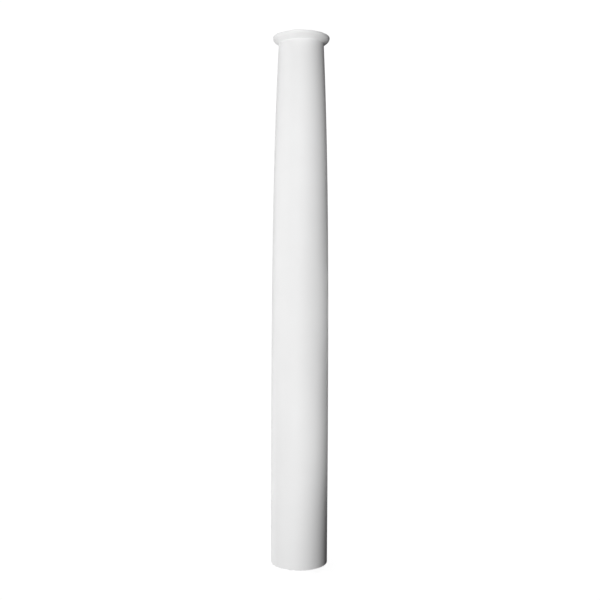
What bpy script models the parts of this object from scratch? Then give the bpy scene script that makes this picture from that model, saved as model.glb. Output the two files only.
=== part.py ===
"""Plain round column shaft: a hollow, gently swelled taper moulded in one with the flared collar on its top.

Metres, +Z up. The origin is the centre of the foot, and the shaft's axis is +Z.
"""

import math

import bmesh
import bpy

# Shaft
HEIGHT = 2.286
FOOT_DIAMETER = 0.2445
SWELL_DIAMETER = 0.248
SWELL_HEIGHT = 0.584
NECK_DIAMETER = 0.197
WALL = 0.0127

# Collar: flat on top, with a round below its edge, a straight chamfer in to the neck and a small cove there
COLLAR_PROJECTION = 0.0254
COLLAR_HEIGHT = 0.0286      # down to the corner that chamfer and neck would make without the cove
COLLAR_EDGE_RADIUS = 0.0005
COLLAR_ROUND_RADIUS = 0.0175
NECK_COVE_RADIUS = 0.0015

# How the shaft draws in, above the swell and below it: 1 is a straight line, 3 a cubic curve
UPPER_TAPER_POWER = 3.0
LOWER_TAPER_POWER = 1.2

# Fineness of the faceted model
SEGMENTS = 80
UPPER_STEPS = 14
LOWER_STEPS = 4
ROUND_STEPS = 7
ARC_STEPS = 3
WELD_DISTANCE = 0.00001
SHARP_ANGLE = math.radians(35)

# Finish
WHITE = (0.85, 0.85, 0.84, 1.0)
ROUGHNESS = 0.6

# Sizes that follow from those above
NECK_RADIUS = NECK_DIAMETER / 2
COLLAR_RADIUS = NECK_RADIUS + COLLAR_PROJECTION
COLLAR_EDGE_LEVEL = HEIGHT - COLLAR_EDGE_RADIUS

# Chamfer's slope off the axis: that of a line which leaves the neck's corner and just touches the round
ROUND_ACROSS = COLLAR_PROJECTION - COLLAR_ROUND_RADIUS
ROUND_UP = COLLAR_HEIGHT - COLLAR_EDGE_RADIUS
ROUND_REACH = math.hypot(ROUND_ACROSS, ROUND_UP)
CHAMFER_SLOPE = math.atan2(ROUND_ACROSS, ROUND_UP) + math.asin(COLLAR_ROUND_RADIUS / ROUND_REACH)
NECK_LEVEL = HEIGHT - COLLAR_HEIGHT - NECK_COVE_RADIUS * math.tan(CHAMFER_SLOPE / 2)


def clear_objects():
    """Start from an empty scene."""
    for item in list(bpy.data.objects):
        bpy.data.objects.remove(item, do_unlink=True)


def spread(first, last, steps):
    """Evenly spaced values from first to last, both included."""
    return [first + (last - first) * step / steps for step in range(steps + 1)]


def arc(centre, size, first, last, steps):
    """Points (radius, level) on a circular arc, between two angles from straight outward."""
    radius, level = centre
    angles = spread(first, last, steps)
    return [(radius + size * math.cos(angle), level + size * math.sin(angle)) for angle in angles]


def shaft_radius(level):
    """Outer radius of the shaft: fullest at the swell, drawn in to the neck and a little to the foot."""
    if level > SWELL_HEIGHT:
        share = (level - SWELL_HEIGHT) / (NECK_LEVEL - SWELL_HEIGHT)
        end, power = NECK_RADIUS, UPPER_TAPER_POWER
    else:
        share = (SWELL_HEIGHT - level) / SWELL_HEIGHT
        end, power = FOOT_DIAMETER / 2, LOWER_TAPER_POWER
    swell = SWELL_DIAMETER / 2
    return swell - (swell - end) * share ** power


def shaft_levels():
    """Heights of the shaft's rings, from the neck down to the flat foot."""
    upper = spread(NECK_LEVEL, SWELL_HEIGHT, UPPER_STEPS)
    lower = spread(SWELL_HEIGHT, 0.0, LOWER_STEPS)
    return upper + lower[1:]


def collar_profile():
    """Outer side of the collar, from its flat top to the neck; the chamfer is the line from round to cove."""
    edge_centre = (COLLAR_RADIUS - COLLAR_EDGE_RADIUS, COLLAR_EDGE_LEVEL)
    edge = arc(edge_centre, COLLAR_EDGE_RADIUS, math.pi / 2, 0, ARC_STEPS)
    round_centre = (COLLAR_RADIUS - COLLAR_ROUND_RADIUS, COLLAR_EDGE_LEVEL)
    round_over = arc(round_centre, COLLAR_ROUND_RADIUS, 0, -CHAMFER_SLOPE, ROUND_STEPS)
    cove_centre = (NECK_RADIUS + NECK_COVE_RADIUS, NECK_LEVEL)
    cove = arc(cove_centre, NECK_COVE_RADIUS, math.pi - CHAMFER_SLOPE, math.pi, ARC_STEPS)
    return edge + round_over[1:] + cove


def shaft_profile():
    """Outer side of the shaft, from its first ring below the collar down to the flat foot."""
    return [(shaft_radius(level), level) for level in shaft_levels()[1:]]


def bore_profile():
    """Inner side, one wall inside the shaft, from the foot up and straight through the collar."""
    sides = [(shaft_radius(level) - WALL, level) for level in reversed(shaft_levels())]
    return sides + [(NECK_RADIUS - WALL, HEIGHT)]


def closed_outline(name, points):
    """A mesh of edges only: the profile's points at +X, joined in a ring."""
    outline = bmesh.new()
    corners = [outline.verts.new((radius, 0.0, level)) for radius, level in points]
    for corner, following in zip(corners, corners[1:] + corners[:1]):
        outline.edges.new((corner, following))
    mesh = bpy.data.meshes.new(name)
    outline.to_mesh(mesh)
    outline.free()
    return mesh


def turned_piece(name, points, collection):
    """The solid made by a closed profile turned once about Z, shaded smooth between its sharp edges."""
    piece = bpy.data.objects.new(name, closed_outline(name + "_outline", points))
    collection.objects.link(piece)
    turn = piece.modifiers.new("Turn", "SCREW")
    turn.axis = "Z"
    turn.angle = math.tau
    turn.steps = SEGMENTS
    turn.render_steps = SEGMENTS
    turn.use_merge_vertices = True
    turn.merge_threshold = WELD_DISTANCE
    turned = piece.evaluated_get(bpy.context.evaluated_depsgraph_get())
    outline = piece.data
    solid = bpy.data.meshes.new_from_object(turned)
    solid.name = name
    piece.modifiers.remove(turn)
    piece.data = solid
    bpy.data.meshes.remove(outline)
    solid.shade_smooth()
    solid.set_sharp_from_angle(angle=SHARP_ANGLE)
    return piece


def white_moulding():
    """Matt white surface of the moulded shaft."""
    material = bpy.data.materials.new("white_moulding")
    material.use_nodes = True
    shader = material.node_tree.nodes["Principled BSDF"]
    shader.inputs["Base Color"].default_value = WHITE
    shader.inputs["Roughness"].default_value = ROUGHNESS
    shader.inputs["Metallic"].default_value = 0.0
    material.diffuse_color = WHITE
    return material


def build():
    clear_objects()
    collection = bpy.data.collections.new("column shaft")
    bpy.context.scene.collection.children.link(collection)
    profile = collar_profile() + shaft_profile() + bore_profile()
    shaft = turned_piece("column_shaft", profile, collection)
    shaft.data.materials.append(white_moulding())


build()
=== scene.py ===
"""Studio scene of a plain white column shaft: its surface, floor, backdrop, soft lights and camera."""

import math

import bpy
import numpy as np
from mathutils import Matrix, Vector


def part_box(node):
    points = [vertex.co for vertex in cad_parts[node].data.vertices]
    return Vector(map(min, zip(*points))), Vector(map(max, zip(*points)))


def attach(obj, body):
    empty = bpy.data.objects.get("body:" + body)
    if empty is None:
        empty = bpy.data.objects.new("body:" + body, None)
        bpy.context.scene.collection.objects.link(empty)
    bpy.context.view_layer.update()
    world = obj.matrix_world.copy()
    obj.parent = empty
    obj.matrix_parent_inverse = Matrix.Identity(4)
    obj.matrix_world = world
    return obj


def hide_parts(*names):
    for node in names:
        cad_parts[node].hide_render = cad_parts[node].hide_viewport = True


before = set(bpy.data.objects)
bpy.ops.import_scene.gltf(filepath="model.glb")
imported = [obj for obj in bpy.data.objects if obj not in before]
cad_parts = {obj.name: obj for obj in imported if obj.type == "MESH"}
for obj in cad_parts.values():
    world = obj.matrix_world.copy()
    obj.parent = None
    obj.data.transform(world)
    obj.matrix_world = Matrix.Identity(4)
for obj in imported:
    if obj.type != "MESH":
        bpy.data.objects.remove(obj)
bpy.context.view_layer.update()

# Sizes of the shaft, as the solid has them: its height and its girth at the swell are read from the solid's
# mesh
top_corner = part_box("column_shaft")[1]
HEIGHT = top_corner.z
SWELL_RADIUS = top_corner.x
SWELL_HEIGHT = 0.584
FOOT_RADIUS = 0.12225
NECK_RADIUS = 0.0985
WALL = 0.0127
COLLAR_PROJECTION = 0.0254
COLLAR_HEIGHT = 0.0286
COLLAR_EDGE_RADIUS = 0.0005
COLLAR_ROUND_RADIUS = 0.0175
NECK_COVE_RADIUS = 0.0015
UPPER_TAPER_POWER = 3.0
LOWER_TAPER_POWER = 1.2

# Sizes that follow from those above
FOOT_BORE = FOOT_RADIUS - WALL
NECK_BORE = NECK_RADIUS - WALL
COLLAR_RADIUS = NECK_RADIUS + COLLAR_PROJECTION
COLLAR_EDGE_LEVEL = HEIGHT - COLLAR_EDGE_RADIUS

# Chamfer's slope off the axis: that of a line which leaves the neck's corner and just touches the round
ROUND_ACROSS = COLLAR_PROJECTION - COLLAR_ROUND_RADIUS
ROUND_UP = COLLAR_HEIGHT - COLLAR_EDGE_RADIUS
ROUND_REACH = math.hypot(ROUND_ACROSS, ROUND_UP)
CHAMFER_SLOPE = math.atan2(ROUND_ACROSS, ROUND_UP) + math.asin(COLLAR_ROUND_RADIUS / ROUND_REACH)
NECK_LEVEL = HEIGHT - COLLAR_HEIGHT - NECK_COVE_RADIUS * math.tan(CHAMFER_SLOPE / 2)

# Arrises that the solid leaves sharp
ARRIS_RADIUS = 0.0005

# Fineness of the lathe; a ring is held close to each arris, so that the shading stays even up to it
SEGMENTS = 256
SHAFT_STEPS = 160
BORE_STEPS = 70
ROUND_STEPS = 20
CHAMFER_STEPS = 8
ARC_STEPS = 6
END_STEPS = 6
HOLD = 0.0004

# Unevenness of the moulded surfaces, in metres, and the length over which it fades out at each end
OUTSIDE_UNEVENNESS = 0.00012
BORE_UNEVENNESS = 0.0007
FADE_LENGTH = 0.05

# Waves that it is made of: each one's share, turns round the axis, radians a metre upward, and start
LONG_WAVES = ((0.45, 2, 3.1, 0.7), (0.3, 3, -5.3, 2.1), (0.25, 5, 9.7, 4.0))
SHORT_WAVES = ((0.3, 7, 31, 0), (0.2, 12, -67, 1.3))
LONG_SHARE_WHEN_ROUGH = 0.5

# Materials' places in the shaft's mesh
OUTSIDE = 0
CUT_ENDS = 1
INSIDE = 2

# Colours of the outside, of the cut ends and their specks, and of the bore and its fibres
OUTSIDE_LIGHT = (0.864, 0.864, 0.864, 1)
OUTSIDE_DARK = (0.845, 0.845, 0.845, 1)
CUT_LIGHT = (0.82, 0.81, 0.77, 1)
CUT_DARK = (0.70, 0.69, 0.64, 1)
SPECK = (0.5, 0.49, 0.45, 1)
LAMINATE_LIGHT = (0.70, 0.69, 0.63, 1)
LAMINATE_DARK = (0.54, 0.53, 0.47, 1)
FIBRE = (0.78, 0.77, 0.72, 1)
WHITE = (1, 1, 1, 1)
BLACK = (0, 0, 0, 1)

# Colour sockets of the mix node, reached by number because its other kinds have sockets of the same names
MIX_FIRST = 6
MIX_SECOND = 7
MIX_RESULT = 2

# Photograph's frame, in pixels: its side, the rows of the lens axis and of the column's top and foot,
# the focal length, and how far right of the frame's middle the column's axis is
FRAME_SIDE = 600
HORIZON_ROW = 287.4
TOP_ROW = 38.43
FOOT_ROW = 560.83
FOCUS = 805.0
AXIS_OFFSET = 0.207

# Camera's sensor in millimetres, and how far the column leans in the picture
SENSOR_WIDTH = 36.0
LEAN = math.radians(0.259)

# Floor's side in metres, and the even white that floor and backdrop glow with
FLOOR_SIDE = 60
WHITE_GLOW = 1.03

# Out to the shadow's reach the floor glows less, and takes light and shadow instead
SHADOW_REACH = 1.0
SHADOW_GLOW = 0.87
SHADOW_WHITE = (0.2, 0.2, 0.2, 1)


def spread(first, last, steps):
    """Evenly spaced values from first to last, both included."""
    return [first + (last - first) * step / steps for step in range(steps + 1)]


def held(first, last, steps):
    """Evenly spaced values, with one more just inside each end."""
    hold = math.copysign(HOLD, last - first)
    values = spread(first, last, steps)
    return [first, first + hold] + values[1:-1] + [last - hold, last]


def arc(centre, size, first, last, steps):
    """Points (radius, level) on a circular arc, between two angles from straight outward."""
    radius, level = centre
    angles = spread(first, last, steps)
    return [(radius + size * math.cos(angle), level + size * math.sin(angle)) for angle in angles]


def line(first, last, steps):
    """Points on the straight line between two points, the ends left out, held close to both."""
    length = math.dist(first, last)
    shares = [distance / length for distance in held(0, length, steps)[1:-1]]
    across, up = last[0] - first[0], last[1] - first[1]
    return [(first[0] + across * share, first[1] + up * share) for share in shares]


def shaft_radius(level):
    """Outer radius of the shaft: fullest at the swell, drawn in to the neck and a little to the foot."""
    if level > SWELL_HEIGHT:
        share = (level - SWELL_HEIGHT) / (NECK_LEVEL - SWELL_HEIGHT)
        end, power = NECK_RADIUS, UPPER_TAPER_POWER
    else:
        share = (SWELL_HEIGHT - level) / SWELL_HEIGHT
        end, power = FOOT_RADIUS, LOWER_TAPER_POWER
    return SWELL_RADIUS - (SWELL_RADIUS - end) * share ** power


def collar_profile():
    """From the collar's flat top, over its edge, round and chamfer, to the end of the cove at the neck."""
    edge_centre = (COLLAR_RADIUS - COLLAR_EDGE_RADIUS, COLLAR_EDGE_LEVEL)
    edge = arc(edge_centre, COLLAR_EDGE_RADIUS, math.pi / 2, 0, ARC_STEPS)
    round_centre = (COLLAR_RADIUS - COLLAR_ROUND_RADIUS, COLLAR_EDGE_LEVEL)
    round_over = arc(round_centre, COLLAR_ROUND_RADIUS, 0, -CHAMFER_SLOPE, ROUND_STEPS)
    cove_centre = (NECK_RADIUS + NECK_COVE_RADIUS, NECK_LEVEL)
    cove = arc(cove_centre, NECK_COVE_RADIUS, math.pi - CHAMFER_SLOPE, math.pi, ARC_STEPS)
    chamfer = line(round_over[-1], cove[0], CHAMFER_STEPS)
    return edge + round_over[1:] + chamfer + cove


def shaft_profile():
    """Down the outside, from the neck to the foot's lower edge."""
    sides = [(shaft_radius(level), level) for level in held(NECK_LEVEL, ARRIS_RADIUS, SHAFT_STEPS)]
    arris_centre = (FOOT_RADIUS - ARRIS_RADIUS, ARRIS_RADIUS)
    return sides[:-1] + arc(arris_centre, ARRIS_RADIUS, 0, -math.pi / 2, ARC_STEPS)


def foot_profile():
    """Across the flat foot, from its outer edge to the bore."""
    return [(radius, 0.0) for radius in held(FOOT_RADIUS - ARRIS_RADIUS, FOOT_BORE + ARRIS_RADIUS, END_STEPS)]


def bore_profile():
    """Up the inside, one wall inside the shaft and straight through the collar."""
    low_centre = (FOOT_BORE + ARRIS_RADIUS, ARRIS_RADIUS)
    low = arc(low_centre, ARRIS_RADIUS, 1.5 * math.pi, math.pi, ARC_STEPS)
    sides = [(shaft_radius(level) - WALL, level) for level in held(ARRIS_RADIUS, NECK_LEVEL, BORE_STEPS)]
    high_centre = (NECK_BORE + ARRIS_RADIUS, HEIGHT - ARRIS_RADIUS)
    high = arc(high_centre, ARRIS_RADIUS, math.pi, math.pi / 2, ARC_STEPS)
    return low[:-1] + sides + line(sides[-1], high[0], 1) + high


def top_profile():
    """Across the flat top, from the bore to the collar's rounded edge."""
    outer = COLLAR_RADIUS - COLLAR_EDGE_RADIUS
    return [(radius, HEIGHT) for radius in held(NECK_BORE + ARRIS_RADIUS, outer, END_STEPS)]


def summed(waves, angle, level):
    """Height of several waves together, at angles round the axis on one level."""
    return sum(share * np.sin(turns * angle + climb * level + start) for share, turns, climb, start in waves)


def unevenness(angle, level, rough):
    """A smooth swing between -1 and 1 over the surface, the same on each run; rough adds shorter waves."""
    swing = summed(LONG_WAVES, angle, level)
    if rough:
        swing = LONG_SHARE_WHEN_ROUGH * swing + summed(SHORT_WAVES, angle, level)
    return swing


def lathe(name, sections):
    """A closed mesh turned from profile sections that follow each other round the wall.

    Each section is (points, material index, unevenness, rough); its last point is the next section's first.
    """
    rings, slots = [], []
    angles = np.arange(SEGMENTS) * math.tau / SEGMENTS
    for points, slot, sway, rough in sections:
        for radius, level in points[:-1]:
            fade = min(max(min(level, NECK_LEVEL - level) / FADE_LENGTH, 0.0), 1.0)
            swung = radius + sway * fade * unevenness(angles, level, rough)
            levels = np.full(SEGMENTS, level)
            rings.append(np.stack([swung * np.cos(angles), swung * np.sin(angles), levels], 1))
            slots += [slot] * SEGMENTS
    faces = []
    for ring in range(len(rings)):
        here, following = ring * SEGMENTS, (ring + 1) % len(rings) * SEGMENTS
        for side in range(SEGMENTS):
            beside = (side + 1) % SEGMENTS
            faces.append((here + side, following + side, following + beside, here + beside))
    mesh = bpy.data.meshes.new(name)
    mesh.from_pydata(np.concatenate(rings).tolist(), [], faces)
    mesh.polygons.foreach_set("material_index", slots)
    mesh.shade_smooth()
    return mesh


class Shader:
    """A material's Principled shader, with short ways to add the nodes that feed it."""

    def __init__(self, name):
        self.material = bpy.data.materials.new(name)
        self.material.use_nodes = True
        self.tree = self.material.node_tree
        self.principled = self.tree.nodes["Principled BSDF"]
        self.place = self.node("ShaderNodeTexCoord").outputs["Object"]

    def node(self, kind, **settings):
        made = self.tree.nodes.new(kind)
        for key, value in settings.items():
            setattr(made, key, value)
        return made

    def link(self, output, socket):
        self.tree.links.new(output, socket)

    def stretched(self, scale):
        """Object coordinates, scaled on each axis."""
        mapping = self.node("ShaderNodeMapping")
        mapping.inputs["Scale"].default_value = scale
        self.link(self.place, mapping.inputs["Vector"])
        return mapping.outputs["Vector"]

    def noise(self, scale, detail=2.0, vector=None, distortion=0.0, kind="FBM"):
        made = self.node("ShaderNodeTexNoise", noise_type=kind)
        made.inputs["Scale"].default_value = scale
        made.inputs["Detail"].default_value = detail
        made.inputs["Distortion"].default_value = distortion
        self.link(vector or self.place, made.inputs["Vector"])
        return made.outputs["Fac"]

    def ranged(self, value, low, high, to_low, to_high):
        made = self.node("ShaderNodeMapRange")
        for key, number in (("From Min", low), ("From Max", high), ("To Min", to_low), ("To Max", to_high)):
            made.inputs[key].default_value = number
        self.link(value, made.inputs["Value"])
        return made.outputs["Result"]

    def mixed(self, share, first, second):
        """Colour between first, a colour or an output, and second, a colour."""
        made = self.node("ShaderNodeMix", data_type="RGBA")
        self.link(share, made.inputs["Factor"])
        if isinstance(first, tuple):
            made.inputs[MIX_FIRST].default_value = first
        else:
            self.link(first, made.inputs[MIX_FIRST])
        made.inputs[MIX_SECOND].default_value = second
        return made.outputs[MIX_RESULT]

    def bump(self, height, depth, below=None):
        """Raises the surface by up to depth metres where height is 1, over the bump below."""
        made = self.node("ShaderNodeBump")
        made.inputs["Strength"].default_value = 1.0
        made.inputs["Distance"].default_value = depth
        self.link(height, made.inputs["Height"])
        if below is not None:
            self.link(below, made.inputs["Normal"])
        return made.outputs["Normal"]

    def finish(self, colour, roughness, normal):
        self.link(colour, self.principled.inputs["Base Color"])
        self.link(roughness, self.principled.inputs["Roughness"])
        self.link(normal, self.principled.inputs["Normal"])
        return self.material


def white_moulding():
    """Satin white outside: faint mottling, a fine peel and finer lines from sanding on a lathe."""
    shader = Shader("white_moulding")
    mottle = shader.noise(4.0, detail=3.0)
    patches = shader.ranged(mottle, 0.35, 0.65, 0, 1)
    colour = shader.mixed(patches, OUTSIDE_LIGHT, OUTSIDE_DARK)
    roughness = shader.ranged(shader.noise(14.0), 0.3, 0.7, 0.58, 0.66)
    peel = shader.bump(shader.noise(240.0, detail=2.0), 0.00005)
    lines = shader.bump(shader.noise(1.0, detail=1.0, vector=shader.stretched((6, 6, 1400))), 0.000012, peel)
    return shader.finish(colour, roughness, lines)


def cut_composite():
    """Sawn wall and cast top: off-white filled resin with mineral specks and faint saw marks."""
    shader = Shader("cut_composite")
    patches = shader.ranged(shader.noise(45.0, detail=4.0), 0.35, 0.65, 0, 1)
    cloud = shader.mixed(patches, CUT_LIGHT, CUT_DARK)
    specks = shader.ranged(shader.noise(420.0, detail=2.0), 0.6, 0.68, 0, 0.8)
    colour = shader.mixed(specks, cloud, SPECK)
    roughness = shader.ranged(shader.noise(120.0), 0.3, 0.7, 0.68, 0.85)
    marks = shader.bump(shader.noise(1.0, detail=2.0, vector=shader.stretched((700, 20, 20))), 0.00008)
    grain = shader.bump(shader.noise(500.0, detail=3.0), 0.00006, marks)
    return shader.finish(colour, roughness, grain)


def raw_laminate():
    """Unfinished inside: greyer resin over matted glass fibre."""
    shader = Shader("raw_laminate")
    patches = shader.ranged(shader.noise(12.0, detail=4.0), 0.35, 0.65, 0, 1)
    tint = shader.mixed(patches, LAMINATE_LIGHT, LAMINATE_DARK)
    strands = shader.noise(70.0, detail=5.0, distortion=1.2, kind="RIDGED_MULTIFRACTAL")
    colour = shader.mixed(shader.ranged(strands, 0.9, 1.5, 0, 0.5), tint, FIBRE)
    roughness = shader.ranged(shader.noise(30.0), 0.3, 0.7, 0.5, 0.75)
    mat = shader.bump(strands, 0.0002)
    return shader.finish(colour, roughness, mat)


def make_shaft():
    """The finished shaft, in place of its faceted solid."""
    sections = [
        (collar_profile() + shaft_profile()[1:], OUTSIDE, OUTSIDE_UNEVENNESS, False),
        (foot_profile(), CUT_ENDS, 0.0, False),
        (bore_profile(), INSIDE, BORE_UNEVENNESS, True),
        (top_profile(), CUT_ENDS, 0.0, False),
    ]
    shaft = bpy.data.objects.new("finished_shaft", lathe("finished_shaft", sections))
    bpy.context.scene.collection.objects.link(shaft)
    for material in (white_moulding(), cut_composite(), raw_laminate()):
        shaft.data.materials.append(material)
    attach(shaft, "root")
    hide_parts("column_shaft")


def make_floor():
    """A wide white floor that glows, but not in the bore, and takes light and shadow only near the foot."""
    bpy.ops.mesh.primitive_plane_add(size=FLOOR_SIDE, location=(0, 0, 0))
    floor = bpy.context.object
    floor.name = "floor"
    shader = Shader("floor_white")
    distance = shader.node("ShaderNodeVectorMath", operation="LENGTH")
    shader.link(shader.place, distance.inputs[0])
    away = shader.ranged(distance.outputs["Value"], FOOT_RADIUS, SHADOW_REACH, 0, 1)
    shader.link(shader.mixed(away, SHADOW_WHITE, BLACK), shader.principled.inputs["Base Color"])
    outside = shader.node("ShaderNodeMath", operation="GREATER_THAN")
    shader.link(distance.outputs["Value"], outside.inputs[0])
    outside.inputs[1].default_value = (FOOT_RADIUS + FOOT_BORE) / 2
    glow = shader.node("ShaderNodeMath", operation="MULTIPLY")
    shader.link(shader.ranged(away, 0, 1, SHADOW_GLOW, WHITE_GLOW), glow.inputs[0])
    shader.link(outside.outputs[0], glow.inputs[1])
    shader.link(glow.outputs[0], shader.principled.inputs["Emission Strength"])
    shader.principled.inputs["Emission Color"].default_value = WHITE
    shader.principled.inputs["Roughness"].default_value = 0.9
    shader.principled.inputs["Specular IOR Level"].default_value = 0.0
    floor.data.materials.append(shader.material)
    floor.visible_diffuse = False
    floor.visible_glossy = False
    floor.visible_shadow = False


def make_backdrop():
    """A white world that only the camera sees, so that the lights alone shape the shaft."""
    world = bpy.data.worlds.new("backdrop")
    bpy.context.scene.world = world
    world.use_nodes = True
    tree = world.node_tree
    path = tree.nodes.new("ShaderNodeLightPath")
    strength = tree.nodes.new("ShaderNodeMath")
    strength.operation = "MULTIPLY"
    strength.inputs[1].default_value = WHITE_GLOW
    tree.links.new(path.outputs["Is Camera Ray"], strength.inputs[0])
    tree.links.new(strength.outputs["Value"], tree.nodes["Background"].inputs["Strength"])
    tree.nodes["Background"].inputs["Color"].default_value = WHITE


def make_light(name, azimuth, distance, height, width, tall, aim, power, gloss=True, beam=180):
    """A soft box that faces the axis at the height aim.

    Its azimuth is in degrees from the camera's direction, positive to the right. Lengths are in metres, power
    is in watts, and beam is the full angle that the light fans out over, in degrees.
    """
    light = bpy.data.lights.new(name, "AREA")
    light.shape = "RECTANGLE"
    light.size = width
    light.size_y = tall
    light.energy = power
    light.spread = math.radians(beam)
    lamp = bpy.data.objects.new(name, light)
    bpy.context.scene.collection.objects.link(lamp)
    angle = math.radians(azimuth)
    lamp.location = (distance * math.sin(angle), -distance * math.cos(angle), height)
    lamp.rotation_euler = (Vector((0, 0, aim)) - lamp.location).to_track_quat("-Z", "Y").to_euler()
    lamp.visible_camera = False
    lamp.visible_glossy = gloss


def make_lights():
    """A key, light from below, rims on the left, weak fills on the right, and lights for top and rear."""
    make_light("key", -7, 3.5, 2.4, 0.9, 0.8, 2.0, 79.5)
    make_light("low_front", -22, 3.5, 0.0, 0.9, 0.8, 0.5, 40.7)
    make_light("floor_bounce", -30, 4.0, -5.73, 2.5, 2.5, 1.2, 154)
    make_light("floor_card", -20, 1.5, 0.02, 1.0, 0.6, 1.4, 0.85)
    make_light("left_rim", -105, 3.5, 1.6, 0.9, 0.8, 1.6, 26.0)
    make_light("left_rear_low", -135, 7.52, -1.54, 2.5, 2.5, 1.2, 155)
    make_light("left_rear_high", -105, 5.14, 7.33, 2.5, 2.5, 1.2, 166)
    make_light("right_fill_high", 75, 0.8, 1.8, 0.3, 0.3, 1.8, 0.75)
    make_light("right_fill_middle", 90, 0.8, 1.1, 0.3, 0.3, 1.1, 0.37, beam=100)
    make_light("right_fill_low", 60, 0.8, 0.8, 0.3, 0.3, 0.8, 0.10, beam=100)
    make_light("right_fill_foot", 60, 0.8, 0.5, 0.3, 0.3, 0.5, 0.09, beam=60)
    make_light("overhead", 0, 0.0, 5.0, 1.0, 1.0, 0.0, 30)
    make_light("right_rear_high", 165, 4.0, 4.5, 1.0, 1.0, 1.7, 100, gloss=False)
    make_light("right_rear_low", 155, 4.0, 0.4, 1.0, 0.8, 0.3, 2.0, gloss=False, beam=40)
    make_light("left_rear", -165, 4.0, 2.0, 1.0, 3.0, 1.7, 50, gloss=False)


def make_camera():
    """The photograph's camera: level, at the height of its horizon row, turned by the column's lean."""
    metres_per_pixel = HEIGHT / (FOOT_ROW - TOP_ROW)
    lens = bpy.data.cameras.new("camera")
    lens.sensor_width = SENSOR_WIDTH
    lens.lens = SENSOR_WIDTH * FOCUS / FRAME_SIDE
    lens.shift_y = (HORIZON_ROW - FRAME_SIDE / 2) / FRAME_SIDE
    camera = bpy.data.objects.new("camera", lens)
    bpy.context.scene.collection.objects.link(camera)
    eye = (FOOT_ROW - HORIZON_ROW) * metres_per_pixel
    camera.location = (-AXIS_OFFSET * metres_per_pixel, -FOCUS * metres_per_pixel, eye)
    camera.rotation_euler = (math.radians(90), 0, 0)
    camera.rotation_euler.rotate_axis("Z", LEAN)
    bpy.context.scene.camera = camera


def main():
    make_camera()
    make_shaft()
    make_floor()
    make_backdrop()
    make_lights()
    bpy.context.scene.view_settings.view_transform = "Standard"


main()
